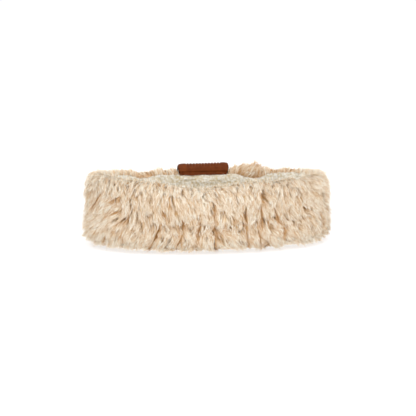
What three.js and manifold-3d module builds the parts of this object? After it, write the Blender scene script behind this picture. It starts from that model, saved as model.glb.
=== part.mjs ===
// A plush headband that stands on its lower edge as an open loop: a deep pile cover outside, a short
// fleece lining inside, and a leather label folded over the rim at the back.
// Millimetres, +Z up. The origin is on the floor under the middle of the loop, +X runs along the loop's
// long axis, and the label is at +Y.

import * as THREE from "three";
import { mergeVertices } from "three/addons/utils/BufferGeometryUtils.js";
import Module from "manifold-3d";

// ---- Driving dimensions ----

const OPENING_HALF_X = 100; // the oval that the lining's inner face follows
const OPENING_HALF_Y = 46;
const BACK_RIM_HEIGHT = 61; // of the lining, at the label
const END_RISE = 3; // how much higher the rim stands at the two tight ends
const END_WAIST_RISE = 2.5; // and how much higher the waist lies there
const FRONT_SAG = 4.5; // how much lower the rim hangs along the front
const GAP = 0.35; // between neighbouring pieces
const LINING_THICKNESS = 4.4;
const PILE_INNER = LINING_THICKNESS + GAP;

const RING_STEPS = 96; // sections round the loop
const PILE_CURVE_STEPS = 17; // along the outside of the pile's section
const LINING_CURVE_STEPS = 12; // along the inside of the lining's section

// Outside of the pile's section at the back of the loop, from the floor up and over to the seam.
// out is measured from the lining's inner face, up from the floor.
const PILE_SECTION = table(["place", "out", "up"], [
  ["edge of the floor strip", 12.5, 0],
  ["lower shoulder", 18.2, 6.5],
  ["lower bulge", 21, 17.5],
  ["waist", 17.6, 31],
  ["upper bulge", 19.8, 46],
  ["upper shoulder", 17.8, 58.5],
  ["crest", 11.5, 65.5],
  ["lip", 6.4, 64],
  ["upper seam", PILE_INNER, 60],
]);
const FLOOR_STRIP_INNER = 7; // the pile is pressed flat from here to the edge of the floor strip
const LOWER_SEAM_HEIGHT = 4.5;

// The lining's inner face at the back of the loop: it puffs inwards at both edges.
const LINING_SECTION = table(["place", "out", "up"], [
  ["lower edge", 1.6, 1.8],
  ["lower puff", -0.9, 7],
  ["middle", 0.4, 31],
  ["upper puff", -1.4, 54],
  ["upper edge", 0.6, 59.6],
]);
const LINING_EDGE_DROP = 1.4; // the outer corner of each edge lies this far in from its tip

// Folds and swells, each centred at an angle from +X towards +Y. Angles are in degrees, the rest in
// millimetres. A rise lifts the upper edge of the pile or of the lining; pilePush moves the outside of
// the pile out, and liningPush the inner face of the lining in.
const FOLDS = table(
  ["place", "at", "halfWidth", "pileRise", "liningRise", "pilePush", "liningPush"],
  [
    ["front dip", -101, 20, -2.8, -2.8, 0.6, 0],
    ["front swell, right", -71, 13, 1.6, 1.6, 0.8, 0],
    ["left end swell", 190, 24, 1.8, 1.8, 0.5, 0],
    ["back dip, left", 128, 12, -1.8, -2.8, -0.8, 0.8],
    ["bunched pile beside the label", 65, 13, 2.8, 0, 1.2, 0],
    ["pinch, right of the label", 58, 14, 0, -4.6, 0, 1],
    ["back dip, right", 46, 9, -1.6, 0, -1, 0],
    ["pucker nearest the back", 37, 6.5, 0.4, 1.6, 0, 1.4],
    ["middle pucker", 28.5, 6.5, 0, 2, 0, 1.6],
    ["pucker nearest the end", 15, 7.5, 0.4, 2.8, 0, 1.8],
  ],
);

// The label is one strip: up out of the seam, over in a roll, and down over the pile behind.
const LABEL_OFFSET_X = 1.6; // the middle of the label, along the back
const LABEL_THICKNESS = 2;
const LABEL_FOOT_HEIGHT = 56; // where the strip is caught in the seam
const LABEL_ROLL_HEIGHT = 68.4; // of the roll's centre
const LABEL_ROLL_RADIUS = 3.4; // of the strip's middle layer
const LABEL_BACK_LENGTH = 25; // from the roll to the lower end behind
const LABEL_BACK_LEAN = 14; // degrees from upright
const LABEL_CORNER = 4;
const LABEL_STEPS_ACROSS = 8;
const LABEL_POCKET_DEPTH = 16; // how far behind the label the pile is pressed away

// Widths of the strip, by the length along it from its foot.
const LABEL_WIDTHS = table(["place", "along", "width"], [
  ["in the seam", 0, 48.5],
  ["top of the neck", 7, 48.5],
  ["front of the roll", 12.2, 52.5],
  ["top of the roll", 17.5, 51],
  ["behind the roll", 22.5, 52.5],
  ["lower end", 48, 52],
]);

// ---- Shared shapes ----

// Turns rows of values into objects with the columns' names.
function table(columns, rows) {
  return rows.map((row) => Object.fromEntries(columns.map((name, i) => [name, row[i]])));
}

const radians = THREE.MathUtils.degToRad;
const degrees = THREE.MathUtils.radToDeg;

// The point at plan angle t that lies out from the lining's inner face and up from the floor.
function placed(t, out, up) {
  const x = OPENING_HALF_X * Math.cos(t);
  const y = OPENING_HALF_Y * Math.sin(t);
  const normal = new THREE.Vector2(x / OPENING_HALF_X ** 2, y / OPENING_HALF_Y ** 2).normalize();
  return [x + out * normal.x, y + out * normal.y, up];
}

// What the folds add up to in one column at plan angle t.
function folded(t, column) {
  let total = 0;
  for (const fold of FOLDS) {
    const away = THREE.MathUtils.euclideanModulo(degrees(t) - fold.at + 180, 360) - 180;
    if (Math.abs(away) < fold.halfWidth) {
      total += fold[column] * Math.cos((away / fold.halfWidth) * (Math.PI / 2)) ** 2;
    }
  }
  return total;
}

// A height in the section at the back becomes a height at plan angle t: the floor stays where it is,
// the rim rises and sags, and the waist lies higher at the ends.
function raised(t, up, column) {
  const endness = Math.cos(t) ** 2;
  const frontness = Math.max(0, -Math.sin(t)) ** 2;
  const rim = END_RISE * endness - FRONT_SAG * frontness + folded(t, column);
  const share = Math.min(up / BACK_RIM_HEIGHT, 1);
  return up * (1 + rim / BACK_RIM_HEIGHT) + END_WAIST_RISE * endness * Math.sin(Math.PI * share);
}

function smoothCurve(rows, steps) {
  const curve = new THREE.SplineCurve(rows.map((row) => new THREE.Vector2(row.out, row.up)));
  return curve.getPoints(steps).map((point) => [point.x, Math.max(point.y, 0)]);
}

function indexedGeometry(rows, triangles) {
  const geometry = new THREE.BufferGeometry();
  geometry.setAttribute("position", new THREE.Float32BufferAttribute(rows.flat(2), 3));
  geometry.setIndex(triangles);
  return geometry;
}

// Sweeps an outline of [out, up] pairs, given for each plan angle, round the whole loop.
function loopGeometry(outlineAt) {
  const rows = [];
  for (let i = 0; i < RING_STEPS; i += 1) {
    const t = (2 * Math.PI * i) / RING_STEPS;
    rows.push(outlineAt(t).map(([out, up]) => placed(t, out, up)));
  }
  const around = rows[0].length;
  const corner = (i, j) => (i % RING_STEPS) * around + (j % around);
  const triangles = [];
  for (let i = 0; i < RING_STEPS; i += 1) {
    for (let j = 0; j < around; j += 1) {
      triangles.push(corner(i, j), corner(i + 1, j), corner(i + 1, j + 1));
      triangles.push(corner(i, j), corner(i + 1, j + 1), corner(i, j + 1));
    }
  }
  return indexedGeometry(rows, triangles);
}

// ---- Pile cover ----

const pileOutside = smoothCurve(PILE_SECTION, PILE_CURVE_STEPS);
const upperSeamHeight = PILE_SECTION.at(-1).up;

function pileOutline(t) {
  const push = folded(t, "pilePush");
  const height = (up) => raised(t, up, "pileRise");
  const outside = pileOutside.map(([out, up]) => {
    const bulging = Math.sin(Math.PI * THREE.MathUtils.clamp(up / upperSeamHeight, 0, 1));
    return [out + push * bulging, height(up)];
  });
  const inside = [
    [PILE_INNER, height(upperSeamHeight / 2)],
    [PILE_INNER, LOWER_SEAM_HEIGHT],
    [FLOOR_STRIP_INNER, 0],
  ];
  return [...outside, ...inside];
}

// ---- Fleece lining ----

const liningInside = smoothCurve(LINING_SECTION, LINING_CURVE_STEPS);
const lowerEdgeHeight = LINING_SECTION[0].up;
const upperEdgeHeight = LINING_SECTION.at(-1).up;

function liningOutline(t) {
  const push = folded(t, "liningPush");
  const height = (up) => raised(t, up, "liningRise");
  const inside = liningInside.map(([out, up]) => {
    const pushShare = THREE.MathUtils.smoothstep(up, upperEdgeHeight / 3, upperEdgeHeight);
    return [out - push * pushShare, height(up)];
  });
  const outside = [
    [LINING_THICKNESS / 2, height(BACK_RIM_HEIGHT)],
    [LINING_THICKNESS, height(upperEdgeHeight - LINING_EDGE_DROP)],
    [LINING_THICKNESS, height(upperEdgeHeight / 2)],
    [LINING_THICKNESS, lowerEdgeHeight + LINING_EDGE_DROP],
    [LINING_THICKNESS - LINING_EDGE_DROP, lowerEdgeHeight],
  ];
  return [...inside, ...outside].reverse();
}

// ---- Leather label ----

// The strip's middle layer as [out, up], from the foot in the seam, over the roll, to its lower end.
function labelPath() {
  const neckOut = PILE_INNER + LABEL_THICKNESS / 2;
  const neckSteps = 5;
  const rollSteps = 8;
  const backSteps = 8;
  const path = [];
  for (let i = 0; i < neckSteps; i += 1) {
    path.push([neckOut, THREE.MathUtils.lerp(LABEL_FOOT_HEIGHT, LABEL_ROLL_HEIGHT, i / neckSteps)]);
  }
  for (let i = 0; i <= rollSteps; i += 1) {
    const angle = Math.PI - (radians(180 - LABEL_BACK_LEAN) * i) / rollSteps;
    path.push([
      neckOut + LABEL_ROLL_RADIUS * (1 + Math.cos(angle)),
      LABEL_ROLL_HEIGHT + LABEL_ROLL_RADIUS * Math.sin(angle),
    ]);
  }
  const [startOut, startUp] = path.at(-1);
  for (let i = 1; i <= backSteps; i += 1) {
    const along = (LABEL_BACK_LENGTH * i) / backSteps;
    path.push([
      startOut + along * Math.sin(radians(LABEL_BACK_LEAN)),
      startUp - along * Math.cos(radians(LABEL_BACK_LEAN)),
    ]);
  }
  return path;
}

// How far along the path each of its points lies.
function lengthsAlong(path) {
  const lengths = [0];
  for (let i = 1; i < path.length; i += 1) {
    const step = Math.hypot(path[i][0] - path[i - 1][0], path[i][1] - path[i - 1][1]);
    lengths.push(lengths.at(-1) + step);
  }
  return lengths;
}

// Half the strip's width at a length along it, with round corners at the lower end.
function labelHalfWidth(along, whole) {
  const next = Math.max(1, LABEL_WIDTHS.findIndex((row) => row.along > along));
  const [from, to] = [LABEL_WIDTHS[next - 1], LABEL_WIDTHS[next]];
  const share = THREE.MathUtils.smoothstep(along, from.along, to.along);
  const half = THREE.MathUtils.lerp(from.width, to.width, share) / 2;
  const intoCorner = THREE.MathUtils.clamp(along - (whole - LABEL_CORNER), 0, LABEL_CORNER * 0.98);
  return half - LABEL_CORNER + Math.sqrt(LABEL_CORNER ** 2 - intoCorner ** 2);
}

// The label as a solid: its skin lies `inside` within the fold and `outside` beyond the strip's middle
// layer, and `margin` past its edges.
function labelGeometry(inside, outside, margin) {
  const path = labelPath();
  const along = lengthsAlong(path);
  const middleAngle = Math.acos(LABEL_OFFSET_X / OPENING_HALF_X);
  const rows = path.map(([out, up], i) => {
    const before = path[Math.max(i - 1, 0)];
    const after = path[Math.min(i + 1, path.length - 1)];
    const direction = new THREE.Vector2(after[0] - before[0], after[1] - before[1]).normalize();
    const stretch = i === 0 ? -margin : i === path.length - 1 ? margin : 0;
    const half = labelHalfWidth(along[i], along.at(-1)) + margin;
    const skin = [];
    for (const [side, depth] of [[1, outside], [-1, -inside]]) {
      for (let j = 0; j <= LABEL_STEPS_ACROSS; j += 1) {
        const across = side * ((2 * j) / LABEL_STEPS_ACROSS - 1) * half;
        const skinOut = out + direction.x * stretch - direction.y * depth;
        const skinUp = up + direction.y * stretch + direction.x * depth;
        skin.push(placed(middleAngle - across / OPENING_HALF_X, skinOut, skinUp));
      }
    }
    return skin;
  });
  return cappedStrip(rows);
}

// A closed skin over rows of points that each run once round the strip, with both ends capped.
function cappedStrip(rows) {
  const around = rows[0].length;
  const corner = (i, j) => i * around + (j % around);
  const triangles = [];
  for (let i = 0; i + 1 < rows.length; i += 1) {
    for (let j = 0; j < around; j += 1) {
      triangles.push(corner(i, j), corner(i, j + 1), corner(i + 1, j + 1));
      triangles.push(corner(i, j), corner(i + 1, j + 1), corner(i + 1, j));
    }
  }
  const last = rows.length - 1;
  for (let j = 0; j < around / 2 - 1; j += 1) {
    const opposite = around - 1 - j;
    triangles.push(corner(0, j), corner(0, opposite), corner(0, opposite - 1));
    triangles.push(corner(0, j), corner(0, opposite - 1), corner(0, j + 1));
    triangles.push(corner(last, j), corner(last, opposite - 1), corner(last, opposite));
    triangles.push(corner(last, j), corner(last, j + 1), corner(last, opposite - 1));
  }
  return indexedGeometry(rows, triangles);
}

// ---- Solid cuts ----

const wasm = await Module();
wasm.setup();

function solidOf(geometry) {
  const merged = mergeVertices(geometry, 1e-4);
  return new wasm.Manifold(
    new wasm.Mesh({
      numProp: 3,
      vertProperties: merged.attributes.position.array,
      triVerts: new Uint32Array(merged.index.array),
    }),
  );
}

function geometryOf(solid) {
  const mesh = solid.getMesh();
  const geometry = new THREE.BufferGeometry();
  geometry.setAttribute("position", new THREE.BufferAttribute(mesh.vertProperties, 3));
  geometry.setIndex(new THREE.BufferAttribute(mesh.triVerts, 1));
  return geometry;
}

// ---- Assembly ----

function piece(name, geometry, color, roughness) {
  const material = new THREE.MeshStandardMaterial({ color, roughness, metalness: 0 });
  const mesh = new THREE.Mesh(geometry, material);
  mesh.name = name;
  return mesh;
}

const halfLeather = LABEL_THICKNESS / 2;
const labelPocket = solidOf(labelGeometry(halfLeather + GAP, LABEL_POCKET_DEPTH, GAP));
const pileSolid = solidOf(loopGeometry(pileOutline)).subtract(labelPocket);

const headband = new THREE.Group();
headband.add(piece("pile_cover", geometryOf(pileSolid), 0xe2cbae, 0.95));
headband.add(piece("fleece_lining", loopGeometry(liningOutline), 0xe4dcc8, 0.95));
headband.add(piece("leather_label", labelGeometry(halfLeather, halfLeather, 0), 0x70391d, 0.6));

export default headband;
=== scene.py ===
"""The looks of a plush headband: deep cream pile outside, short fleece inside, and a leather label over the
back of the rim. Everything is built round the three pieces of the frame, in metres, and stands on z = 0."""

import math
from types import SimpleNamespace

import bmesh
import bpy
import numpy as np
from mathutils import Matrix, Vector, noise
from mathutils.bvhtree import BVHTree


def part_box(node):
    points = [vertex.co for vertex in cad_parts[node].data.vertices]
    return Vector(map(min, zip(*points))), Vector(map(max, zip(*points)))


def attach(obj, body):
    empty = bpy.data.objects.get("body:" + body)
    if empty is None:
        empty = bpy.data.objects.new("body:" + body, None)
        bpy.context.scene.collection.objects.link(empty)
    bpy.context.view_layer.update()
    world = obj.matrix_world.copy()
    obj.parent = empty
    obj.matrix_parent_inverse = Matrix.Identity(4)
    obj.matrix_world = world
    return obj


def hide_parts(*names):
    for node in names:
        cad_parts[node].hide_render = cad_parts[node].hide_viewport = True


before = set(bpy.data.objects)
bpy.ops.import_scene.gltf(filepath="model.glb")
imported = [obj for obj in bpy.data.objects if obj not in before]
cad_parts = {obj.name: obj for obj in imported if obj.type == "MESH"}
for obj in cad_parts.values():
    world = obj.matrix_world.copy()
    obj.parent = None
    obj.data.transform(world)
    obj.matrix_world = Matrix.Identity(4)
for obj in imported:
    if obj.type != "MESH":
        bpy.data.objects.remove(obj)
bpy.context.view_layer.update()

MM = 0.001


# ---- The oval that the band runs round ----

LINING_WALL = 4.4 * MM  # the lining's outer face lies this far out from the oval of its inner face
PILE_INNER = 4.75 * MM  # and the pile's inner face this far
PILE_OUT = 19 * MM  # the pile's outside lies about this far out
OVAL_STEPS = 2880  # the oval's length is measured in this many steps

lining_low, lining_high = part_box("fleece_lining")
label_low, label_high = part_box("leather_label")
HALF_X = (lining_high.x - lining_low.x) / 2 - LINING_WALL
HALF_Y = (lining_high.y - lining_low.y) / 2 - LINING_WALL
LABEL_MIDDLE = (label_low.x + label_high.x) / 2
LABEL_HALF = (label_high.x - label_low.x) / 2


def oval_normal(t):
    """The direction straight out from the oval at plan angle t, as (x, y)."""
    x, y = np.cos(t) / HALF_X, np.sin(t) / HALF_Y
    size = np.hypot(x, y)
    return x / size, y / size


def oval_point(t, out, up):
    """The point at plan angle t that lies out from the oval and up from the floor."""
    nx, ny = oval_normal(t)
    x = HALF_X * np.cos(t) + out * nx
    y = HALF_Y * np.sin(t) + out * ny
    return np.stack(np.broadcast_arrays(x, y, up), axis=-1)


def oval_speed(t, out):
    """Metres travelled per radian of plan angle, at a distance out from the oval."""
    grow = np.hypot(HALF_X * np.sin(t), HALF_Y * np.cos(t))
    return grow + out * HALF_X * HALF_Y / grow**2


def oval_run(angles, out):
    """Metres travelled round the oval up to each of some rising plan angles."""
    return np.concatenate([[0], np.cumsum(oval_speed(angles[:-1], out) * np.diff(angles))])


def plan_angle(points):
    """The plan angle of points near the oval."""
    return np.arctan2(points[..., 1] / HALF_Y, points[..., 0] / HALF_X)


def smoothstep(low, high, x):
    """0 at low and before it, 1 at high and past it, and smooth between them. low may be the larger."""
    share = np.clip((x - low) / (high - low), 0, 1)
    return share * share * (3 - 2 * share)


def unit(vectors):
    return vectors / (np.linalg.norm(vectors, axis=-1, keepdims=True) + 1e-12)


def table(columns, rows):
    """Rows of values as dictionaries with the columns' names."""
    return [dict(zip(columns.split(), row)) for row in rows]


# ---- The pile's outer form ----

CORE_OUT = 11 * MM  # rays start here, inside the pile's section
CORE_UP = 33 * MM
FORM_TURNS = 360
FORM_RAYS = 150
RAYS_FROM, RAYS_TO = -80, 125  # degrees above level
FORM_STEPS = 72
EASING_ROUNDS = 3
SEAM_GAP = 0.4 * MM  # a ray that lands this near the pile's inner face has passed the seam
FLOOR_GAP = 0.2 * MM  # and one that lands this near the floor is under the band
HANG_SHARE = 0.1  # below this share of the way up the pile hangs free
SEAM_REACH = 2.6 * MM  # past the front seam the pile roots this far in under the fleece's curls at most
SEAM_DIP = 1.6 * MM  # and this far down


def surface_tree(node):
    """A frame node's surface, for rays to meet."""
    mesh = node.data
    return BVHTree.FromPolygons([v.co for v in mesh.vertices], [p.vertices for p in mesh.polygons])


class PileForm:
    """The CAD pile cover's outside, by plan angle and by share of the way from the floor up and over to
    the seam at the lining."""

    def __init__(self, node):
        self.tree = surface_tree(node)
        self.angles = np.arange(FORM_TURNS) * 2 * math.pi / FORM_TURNS
        sections = [self.section(t) for t in self.angles]
        self.out = self.eased(np.array([s[0] for s in sections]))
        self.up = self.eased(np.array([s[1] for s in sections]))
        along = np.gradient(self.out, axis=1), np.gradient(self.up, axis=1)
        size = np.hypot(*along)
        self.length = size.sum(axis=1)
        self.normal_out, self.normal_up = along[1] / size, -along[0] / size

    def section(self, t):
        """Where rays from the core meet the outside at plan angle t, spaced evenly along the outline."""
        nx, ny = oval_normal(t)
        core = Vector(oval_point(t, CORE_OUT, CORE_UP))
        out, up = [], []
        for turn in np.radians(np.linspace(RAYS_FROM, RAYS_TO, FORM_RAYS)):
            way = Vector((nx * math.cos(turn), ny * math.cos(turn), math.sin(turn)))
            reach = self.tree.ray_cast(core, way)[3]
            point_out, point_up = CORE_OUT + reach * math.cos(turn), CORE_UP + reach * math.sin(turn)
            if point_up < FLOOR_GAP:
                continue
            if turn > math.pi / 2 and point_out < PILE_INNER + SEAM_GAP:
                break
            out.append(point_out)
            up.append(point_up)
        run = np.concatenate([[0], np.cumsum(np.hypot(np.diff(out), np.diff(up)))])
        even = np.linspace(0, run[-1], FORM_STEPS)
        return np.interp(even, run, out), np.interp(even, run, up)

    def eased(self, values):
        """Takes the facets out of the sections, round the loop and along each section."""
        for _ in range(EASING_ROUNDS):
            values = (np.roll(values, 1, axis=0) + 2 * values + np.roll(values, -1, axis=0)) / 4
            inner = (values[:, :-2] + 2 * values[:, 1:-1] + values[:, 2:]) / 4
            values = np.concatenate([values[:, :1], inner, values[:, -1:]], axis=1)
        return values

    def read(self, grid, t, s):
        """The value of a grid at plan angles t and shares s of the way up, between its points."""
        i = np.mod(t, 2 * math.pi) / (2 * math.pi) * FORM_TURNS
        j = np.clip(s, 0, 1) * (FORM_STEPS - 1)
        i0, j0 = np.floor(i).astype(int), np.minimum(np.floor(j).astype(int), FORM_STEPS - 2)
        a, b = i - i0, j - j0
        i0, i1 = i0 % FORM_TURNS, (i0 + 1) % FORM_TURNS
        low = grid[i0, j0] * (1 - a) + grid[i1, j0] * a
        high = grid[i0, j0 + 1] * (1 - a) + grid[i1, j0 + 1] * a
        return low * (1 - b) + high * b

    def lengths(self, t):
        """The way from the floor up and over to the seam at plan angles t."""
        i = np.mod(t, 2 * math.pi) / (2 * math.pi) * FORM_TURNS
        return np.interp(i, np.arange(FORM_TURNS + 1), np.append(self.length, self.length[0]))

    def frame(self, t, s):
        """Unit vectors out from the surface, round to the right and up along it."""
        nx, ny = oval_normal(t)
        n_out, n_up = self.read(self.normal_out, t, s), self.read(self.normal_up, t, s)
        size = np.hypot(n_out, n_up)
        n_out, n_up = n_out / size, n_up / size
        normal = np.stack([n_out * nx, n_out * ny, n_up], axis=-1)
        upward = np.stack([-n_up * nx, -n_up * ny, n_out], axis=-1)
        right = np.stack([-ny, nx, np.zeros_like(nx)], axis=-1)
        return normal, right, upward

    def point(self, t, s, depth):
        """The point at a depth under the surface. Below the lower shoulder the way goes straight on down
        to the floor, but tucks in at the two ends. Past the seam it goes a little way in under the curls of
        the fleece along the front, and down beside the lining along the back."""
        tucked = smoothstep(0.8, 0.97, np.abs(np.cos(t)))
        held = np.clip(s, HANG_SHARE * (1 - 0.8 * tucked), 1)
        out, up = self.read(self.out, t, held), self.read(self.up, t, held)
        normal, _, upward = self.frame(t, held)
        past = (s - held) * self.lengths(t)
        beyond = np.maximum(past, 0)
        front = smoothstep(0.2, -0.2, np.sin(t))
        inward = front * np.minimum(beyond, SEAM_REACH)
        down = np.minimum(past, 0) - (1 - front) * beyond - SEAM_DIP * (inward / SEAM_REACH) ** 2
        return oval_point(t, out - inward, up + down) - normal * depth[..., None]

    def surface(self, t, s):
        return self.point(t, s, np.zeros(len(t)))

    def spot(self, at, up):
        """The place on the surface at a plan angle in degrees and a height in millimetres."""
        t = math.radians(at)
        return self.surface(np.array([t]), np.array([self.share_at(t, up * MM)]))[0]

    def share_at(self, t, up):
        """The share of the way up at which the outside reaches a height, on its way to the crest."""
        row = int(round(t / (2 * math.pi) * FORM_TURNS)) % FORM_TURNS
        rising = self.up[row][: int(self.up[row].argmax()) + 1]
        return float(np.interp(up, rising, np.linspace(0, (len(rising) - 1) / (FORM_STEPS - 1), len(rising))))


form = PileForm(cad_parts["pile_cover"])


# ---- Shaping helpers ----


def only(piece):
    """Makes a piece the only selected one, ready for an operator."""
    bpy.ops.object.select_all(action="DESELECT")
    piece.select_set(True)
    bpy.context.view_layer.objects.active = piece


def named(piece, name):
    piece.name = name
    piece.data.name = name
    return piece


def finish_faces(piece):
    """Turns all faces outwards and makes them smooth."""
    only(piece)
    bpy.ops.object.mode_set(mode="EDIT")
    bpy.ops.mesh.select_all(action="SELECT")
    bpy.ops.mesh.normals_make_consistent(inside=False)
    bpy.ops.object.mode_set(mode="OBJECT")
    bpy.ops.object.shade_smooth()


def apply_modifier(piece, modifier):
    only(piece)
    bpy.ops.object.modifier_apply(modifier=modifier.name)


def corners_of(piece):
    corners = np.empty(len(piece.data.vertices) * 3)
    piece.data.vertices.foreach_get("co", corners)
    return corners.reshape(-1, 3)


def put_corners(piece, corners):
    piece.data.vertices.foreach_set("co", corners.reshape(-1))
    piece.data.update()


def normals_of(piece):
    normals = np.empty(len(piece.data.vertices) * 3)
    piece.data.vertices.foreach_get("normal", normals)
    return normals.reshape(-1, 3)


def put_values(piece, name, values):
    """Stores a value for each corner, for a material to read."""
    piece.data.attributes.new(name, "FLOAT", "POINT").data.foreach_set("value", values)


def even_angles(count, out):
    """Plan angles evenly spaced along the loop, at a distance out from the oval."""
    fine = np.linspace(0, 2 * math.pi, OVAL_STEPS + 1)
    run = oval_run(fine, out)
    return np.interp(np.arange(count) / count * run[-1], run, fine)


def ring(name, sections):
    """A closed ring: a torus of its size, whose sections are then moved one by one to where they lie."""
    turns, around = sections.shape[:2]
    bpy.ops.mesh.primitive_torus_add(
        major_segments=turns, minor_segments=around, major_radius=HALF_X, minor_radius=8 * MM
    )
    piece = named(bpy.context.object, name)
    put_corners(piece, sections.reshape(-1, 3))
    finish_faces(piece)
    while piece.data.uv_layers:
        piece.data.uv_layers.remove(piece.data.uv_layers[0])
    return piece


def noise_texture(name, kind, size):
    """A procedural texture for the Displace modifier, with features of about a size."""
    texture = bpy.data.textures.new(name, kind)
    texture.noise_scale = size
    if kind == "CLOUDS":
        texture.noise_depth = 2
    return texture


def displaced(piece, texture, strength, level, group):
    """Raises a piece's surface by a texture, as far as a vertex group lets it."""
    modifier = piece.modifiers.new(texture.name, "DISPLACE")
    modifier.texture = texture
    modifier.texture_coords = "LOCAL"
    modifier.strength = strength
    modifier.mid_level = level
    modifier.vertex_group = group
    apply_modifier(piece, modifier)


def subdivided(piece):
    modifier = piece.modifiers.new("finer", "SUBSURF")
    modifier.levels = 1
    modifier.render_levels = 1
    apply_modifier(piece, modifier)


def weigh(piece, name, weights):
    """Adds a vertex group with a weight for each point, in steps of a hundredth."""
    group = piece.vertex_groups.new(name=name)
    steps = np.round(weights, 2)
    for step in np.unique(steps[steps > 0]):
        group.add(np.nonzero(steps == step)[0].tolist(), float(step), "REPLACE")
    return name


FILLING_FRAMES = 20


def filled(piece, sewn, pressure, growth, reach):
    """Fills a padded piece by a short cloth simulation: it is held where it is sewn, its cloth grows by a
    share, and no point goes further than reach."""
    before = corners_of(piece)
    modifier = piece.modifiers.new("filling", "CLOTH")
    settings = modifier.settings
    settings.quality = 6
    settings.mass = 0.2
    settings.use_pressure = True
    settings.uniform_pressure_force = pressure
    settings.shrink_min = -growth
    settings.bending_stiffness = 0.3
    settings.effector_weights.gravity = 0
    settings.vertex_group_mass = weigh(piece, "sewn", sewn)
    modifier.collision_settings.use_collision = False
    for step in range(1, FILLING_FRAMES + 1):
        bpy.context.scene.frame_set(step)
    apply_modifier(piece, modifier)
    bpy.context.scene.frame_set(1)
    moved = corners_of(piece) - before
    far = np.linalg.norm(moved, axis=1, keepdims=True)
    put_corners(piece, before + moved * np.minimum(1, reach / np.maximum(far, 1e-9)))


# ---- Strands ----

STATIONS = np.array([0, 0.38, 0.74, 1.0])  # along a strand, from root to tip
TAPER = np.array([0.3, 1.0, 0.8, 0.0])  # its width at each of them
EDGE_TILT = 0.35  # a strand is lit as if it were this much rounded across


def blade():
    """One flat strand, a unit wide and a unit long, extruded from station to station and closed at its tip.
    Gives each corner's station and place across, and the faces."""
    bpy.ops.mesh.primitive_plane_add(size=1, location=(0, 0.5, 0))
    blank = bpy.context.object
    bpy.ops.object.transform_apply(location=True)
    first = STATIONS[1]
    bpy.ops.object.mode_set(mode="EDIT")
    bpy.ops.transform.resize(value=(TAPER[0], first, 1), center_override=(0, 0, 0))
    for k in range(1, len(STATIONS) - 1):
        select_where(blank, lambda co: co.y > STATIONS[k] - 0.01)
        bpy.ops.transform.resize(value=(TAPER[k] / TAPER[k - 1], 1, 1), center_override=(0, 0, 0))
        step = STATIONS[k + 1] - STATIONS[k]
        bpy.ops.mesh.extrude_region_move(TRANSFORM_OT_translate={"value": (0, step, 0)})
    bpy.ops.mesh.merge(type="CENTER")
    bpy.ops.object.mode_set(mode="OBJECT")
    corners = np.array([v.co for v in blank.data.vertices])
    faces = [list(p.vertices) for p in blank.data.polygons]
    bpy.data.objects.remove(blank)
    station = np.abs(corners[:, 1, None] - STATIONS[None]).argmin(axis=1)
    return station, corners[:, 0], faces


def select_where(piece, wanted):
    """Selects the vertices of a piece in edit mode whose places pass a test, and nothing else."""
    shape = bmesh.from_edit_mesh(piece.data)
    for v in shape.verts:
        v.select_set(bool(wanted(v.co)))
    shape.select_flush_mode()
    shape.select_flush(True)
    bmesh.update_edit_mesh(piece.data)


def lay_strands(name, strands, material):
    """Joins strands into one mesh: the blade is bent along each one's line. The first number of the OFBake
    map is the strand's tone, and the second is the place along it, from start to end. Strands are lit partly
    as the surface that they make together, which faces outward."""
    station, across, faces = BLADE
    line, side, width = strands["line"], strands["side"], strands["width"]
    count, corners = len(line), len(station)
    points = line[:, station] + side[:, station] * (width[:, None] * across)[..., None]
    face_corners = np.concatenate([np.array(f) for f in faces])
    face_sizes = np.tile([len(f) for f in faces], count)
    loops = (np.arange(count)[:, None] * corners + face_corners).ravel()
    mesh = bpy.data.meshes.new(name)
    mesh.vertices.add(count * corners)
    mesh.vertices.foreach_set("co", points.reshape(-1).astype(np.float32))
    mesh.loops.add(len(loops))
    mesh.loops.foreach_set("vertex_index", loops.astype(np.int32))
    mesh.polygons.add(len(face_sizes))
    first_loops = np.concatenate([[0], np.cumsum(face_sizes)[:-1]])
    mesh.polygons.foreach_set("loop_start", first_loops.astype(np.int32))
    mesh.polygons.foreach_set("loop_total", face_sizes.astype(np.int32))
    mesh.polygons.foreach_set("use_smooth", np.ones(len(face_sizes), bool))
    start, end = strands["start"][:, None], strands["end"][:, None]
    along = start + (end - start) * STATIONS[station][None]
    tone = np.broadcast_to(strands["tone"][:, None], along.shape)
    uv = np.stack([tone, along], axis=-1).reshape(-1, 2)[loops]
    mesh.uv_layers.new(name="OFBake").data.foreach_set("uv", uv.reshape(-1).astype(np.float32))
    mesh.update()
    facing = unit(np.cross(side, np.gradient(line, axis=1)))
    share = (strands["soft"] * np.ones(count))[:, None, None]
    soft = share * strands["outward"][:, None] + (1 - share) * facing
    lit = unit(soft[:, station] + (EDGE_TILT * across[:, None]) * side[:, station])
    mesh.normals_split_custom_set_from_vertices(lit.reshape(-1, 3).astype(np.float32))
    mesh.materials.append(material)
    piece = bpy.data.objects.new(name, mesh)
    bpy.context.scene.collection.objects.link(piece)
    return piece


BLADE = blade()


# ---- Materials ----


def feed(node, inputs):
    """Gives a node's inputs their values, or the sockets that feed them."""
    for name, value in inputs.items():
        if isinstance(value, bpy.types.NodeSocket):
            node.id_data.links.new(value, node.inputs[name])
        else:
            node.inputs[name].default_value = value


def new_node(tree, kind, inputs, **settings):
    node = tree.nodes.new("ShaderNode" + kind)
    for name, value in settings.items():
        setattr(node, name, value)
    feed(node, inputs)
    return node


def new_material(name, roughness, specular):
    material = bpy.data.materials.new(name)
    material.use_nodes = True
    shader = material.node_tree.nodes["Principled BSDF"]
    feed(shader, {"Roughness": roughness, "Specular IOR Level": specular})
    return material, material.node_tree, shader


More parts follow.
